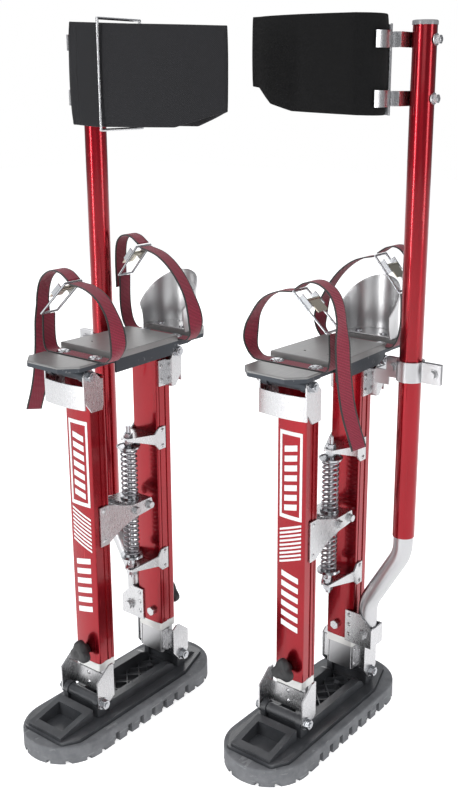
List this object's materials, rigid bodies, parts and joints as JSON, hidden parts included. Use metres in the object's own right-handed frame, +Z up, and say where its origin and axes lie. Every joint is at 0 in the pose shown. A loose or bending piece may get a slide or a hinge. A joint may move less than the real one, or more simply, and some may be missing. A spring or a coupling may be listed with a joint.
{
  "type": "drywall stilts",
  "caption": "Pair of height-adjustable walking stilts with sprung parallel legs, strapped foot plates and padded calf cuffs.",
  "frame": {"origin": "on the floor, midway between the two soles", "axes": "+Z up, toes towards -Y, the stilt of the left foot at +X"},
  "size_m": [0.5776, 0.514, 1.0718],
  "materials": {
    "tread_rubber": "matte",
    "sole_plastic": "semi-gloss",
    "zinc_steel": "satin",
    "bright_aluminium": "satin",
    "red_anodised": "gloss",
    "spring_steel": "satin",
    "black_webbing": "woven",
    "deck_metal": "brushed",
    "polished_steel": "polished",
    "red_webbing": "woven",
    "black_plastic": "matte"
  },
  "bodies": {
    "soles": {"left_sole_tread": "tread_rubber", "left_sole_plate": "sole_plastic", "left_sole_axles": "zinc_steel", "right_sole_tread": "tread_rubber", "right_sole_plate": "sole_plastic", "right_sole_axles": "zinc_steel"},
    "left_front_strut": {"left_front_lower_leg": "bright_aluminium", "left_front_foot_bracket": "bright_aluminium"},
    "left_rear_strut": {"left_rear_lower_leg": "bright_aluminium", "left_rear_foot_bracket": "bright_aluminium"},
    "left_front_leg": {"left_front_leg_tube": "red_anodised", "left_front_top_bracket": "bright_aluminium", "left_spring_centre_bracket": "bright_aluminium"},
    "left_rear_leg": {"left_rear_leg_tube": "red_anodised", "left_rear_top_bracket": "bright_aluminium", "left_spring_end_brackets": "bright_aluminium", "left_spring_rod": "zinc_steel", "left_springs": "spring_steel", "left_upright_bracket": "bright_aluminium", "left_upright_bend_tube": "bright_aluminium", "left_tube_clamp": "bright_aluminium"},
    "left_yoke": {"left_spring_yoke": "zinc_steel"},
    "left_calf_support": {"left_calf_tube": "red_anodised", "left_calf_bracket": "bright_aluminium", "left_calf_cuff": "black_webbing"},
    "left_foot_deck": {"left_foot_plate": "deck_metal", "left_heel_cup": "polished_steel", "left_foot_straps": "red_webbing", "left_plate_hardware": "zinc_steel"},
    "left_front_clamp_knob": {"left_front_knob": "black_plastic"},
    "left_rear_clamp_knob": {"left_rear_knob": "black_plastic"},
    "left_front_cam_lever": {"left_front_buckle_lever": "polished_steel"},
    "left_rear_cam_lever": {"left_rear_buckle_lever": "polished_steel"},
    "right_front_strut": {"right_front_lower_leg": "bright_aluminium", "right_front_foot_bracket": "bright_aluminium"},
    "right_rear_strut": {"right_rear_lower_leg": "bright_aluminium", "right_rear_foot_bracket": "bright_aluminium"},
    "right_front_leg": {"right_front_leg_tube": "red_anodised", "right_front_top_bracket": "bright_aluminium", "right_spring_centre_bracket": "bright_aluminium"},
    "right_rear_leg": {"right_rear_leg_tube": "red_anodised", "right_rear_top_bracket": "bright_aluminium", "right_spring_end_brackets": "bright_aluminium", "right_spring_rod": "zinc_steel", "right_springs": "spring_steel", "right_upright_bracket": "bright_aluminium", "right_upright_bend_tube": "bright_aluminium", "right_tube_clamp": "bright_aluminium"},
    "right_yoke": {"right_spring_yoke": "zinc_steel"},
    "right_calf_support": {"right_calf_tube": "red_anodised", "right_calf_bracket": "bright_aluminium", "right_calf_cuff": "black_webbing"},
    "right_foot_deck": {"right_foot_plate": "deck_metal", "right_heel_cup": "polished_steel", "right_foot_straps": "red_webbing", "right_plate_hardware": "zinc_steel"},
    "right_front_clamp_knob": {"right_front_knob": "black_plastic"},
    "right_rear_clamp_knob": {"right_rear_knob": "black_plastic"},
    "right_front_cam_lever": {"right_front_buckle_lever": "polished_steel"},
    "right_rear_cam_lever": {"right_rear_buckle_lever": "polished_steel"}
  },
  "joints": [
    {"name": "left_front_swing", "type": "hinge", "parent": "soles", "child": "left_front_strut", "pos_m": [0.1388, -0.0035, 0.057], "axis": [1, 0, 0], "range_deg": [-5, 5], "stiffness_Nm_per_rad": 260},
    {"name": "left_front_extend", "type": "slide", "parent": "left_front_strut", "child": "left_front_leg", "axis": [0, 0, 1], "range_m": [0, 0.4]},
    {"name": "left_plate_tilt", "type": "hinge", "parent": "left_front_leg", "child": "left_foot_deck", "pos_m": [0.1388, -0.0035, 0.582], "axis": [1, 0, 0], "range_deg": [-5, 5]},
    {"name": "left_rear_swing", "type": "hinge", "parent": "soles", "child": "left_rear_strut", "pos_m": [0.1388, 0.1815, 0.057], "axis": [1, 0, 0], "range_deg": [-5, 5]},
    {"name": "left_rear_extend", "type": "slide", "parent": "left_rear_strut", "child": "left_rear_leg", "axis": [0, 0, 1], "range_m": [0, 0.4]},
    {"name": "left_spring_travel", "type": "slide", "parent": "left_rear_leg", "child": "left_yoke", "axis": [0, 0, 1], "range_m": [-0.0165, 0.0165], "deforming": ["left_springs"]},
    {"name": "left_calf_tube_slide", "type": "slide", "parent": "left_rear_leg", "child": "left_calf_support", "axis": [0, 0, 1], "range_m": [0, 0.075]},
    {"name": "left_front_knob_turn", "type": "hinge", "parent": "left_front_leg", "child": "left_front_clamp_knob", "pos_m": [0.1388, -0.0035, 0.133], "axis": [0, -1, 0], "continuous": true},
    {"name": "left_rear_knob_turn", "type": "hinge", "parent": "left_rear_leg", "child": "left_rear_clamp_knob", "pos_m": [0.1388, 0.1965, 0.15], "axis": [0, 1, 0], "continuous": true},
    {"name": "left_front_lever_turn", "type": "hinge", "parent": "left_foot_deck", "child": "left_front_cam_lever", "pos_m": [0.16423, 0.0175, 0.69652], "axis": [0, -1, 0], "range_deg": [0, 60]},
    {"name": "left_rear_lever_turn", "type": "hinge", "parent": "left_foot_deck", "child": "left_rear_cam_lever", "pos_m": [0.18667, 0.1885, 0.72326], "axis": [0, -1, 0], "range_deg": [0, 60]},
    {"name": "right_front_swing", "type": "hinge", "parent": "soles", "child": "right_front_strut", "pos_m": [-0.1388, -0.1525, 0.057], "axis": [1, 0, 0], "range_deg": [-5, 5], "stiffness_Nm_per_rad": 260},
    {"name": "right_front_extend", "type": "slide", "parent": "right_front_strut", "child": "right_front_leg", "axis": [0, 0, 1], "range_m": [0, 0.4]},
    {"name": "right_plate_tilt", "type": "hinge", "parent": "right_front_leg", "child": "right_foot_deck", "pos_m": [-0.1388, -0.1525, 0.582], "axis": [1, 0, 0], "range_deg": [-5, 5]},
    {"name": "right_rear_swing", "type": "hinge", "parent": "soles", "child": "right_rear_strut", "pos_m": [-0.1388, 0.0325, 0.057], "axis": [1, 0, 0], "range_deg": [-5, 5]},
    {"name": "right_rear_extend", "type": "slide", "parent": "right_rear_strut", "child": "right_rear_leg", "axis": [0, 0, 1], "range_m": [0, 0.4]},
    {"name": "right_spring_travel", "type": "slide", "parent": "right_rear_leg", "child": "right_yoke", "axis": [0, 0, 1], "range_m": [-0.0165, 0.0165], "deforming": ["right_springs"]},
    {"name": "right_calf_tube_slide", "type": "slide", "parent": "right_rear_leg", "child": "right_calf_support", "axis": [0, 0, 1], "range_m": [0, 0.075]},
    {"name": "right_front_knob_turn", "type": "hinge", "parent": "right_front_leg", "child": "right_front_clamp_knob", "pos_m": [-0.1388, -0.1525, 0.133], "axis": [0, -1, 0], "continuous": true},
    {"name": "right_rear_knob_turn", "type": "hinge", "parent": "right_rear_leg", "child": "right_rear_clamp_knob", "pos_m": [-0.1388, 0.0475, 0.15], "axis": [0, 1, 0], "continuous": true},
    {"name": "right_front_lever_turn", "type": "hinge", "parent": "right_foot_deck", "child": "right_front_cam_lever", "pos_m": [-0.16423, -0.1315, 0.69652], "axis": [0, 1, 0], "range_deg": [0, 60]},
    {"name": "right_rear_lever_turn", "type": "hinge", "parent": "right_foot_deck", "child": "right_rear_cam_lever", "pos_m": [-0.18667, 0.0395, 0.72326], "axis": [0, 1, 0], "range_deg": [0, 60]}
  ],
  "couplings": [
    {"joint": "left_rear_swing", "follows": "left_front_swing", "ratio": 1},
    {"joint": "left_plate_tilt", "follows": "left_front_swing", "ratio": -1},
    {"joint": "left_spring_travel", "follows": "left_front_swing", "m_per_rad": 0.185},
    {"joint": "left_rear_extend", "follows": "left_front_extend", "ratio": 1},
    {"joint": "right_rear_swing", "follows": "right_front_swing", "ratio": 1},
    {"joint": "right_plate_tilt", "follows": "right_front_swing", "ratio": -1},
    {"joint": "right_spring_travel", "follows": "right_front_swing", "m_per_rad": 0.185},
    {"joint": "right_rear_extend", "follows": "right_front_extend", "ratio": 1}
  ]
}
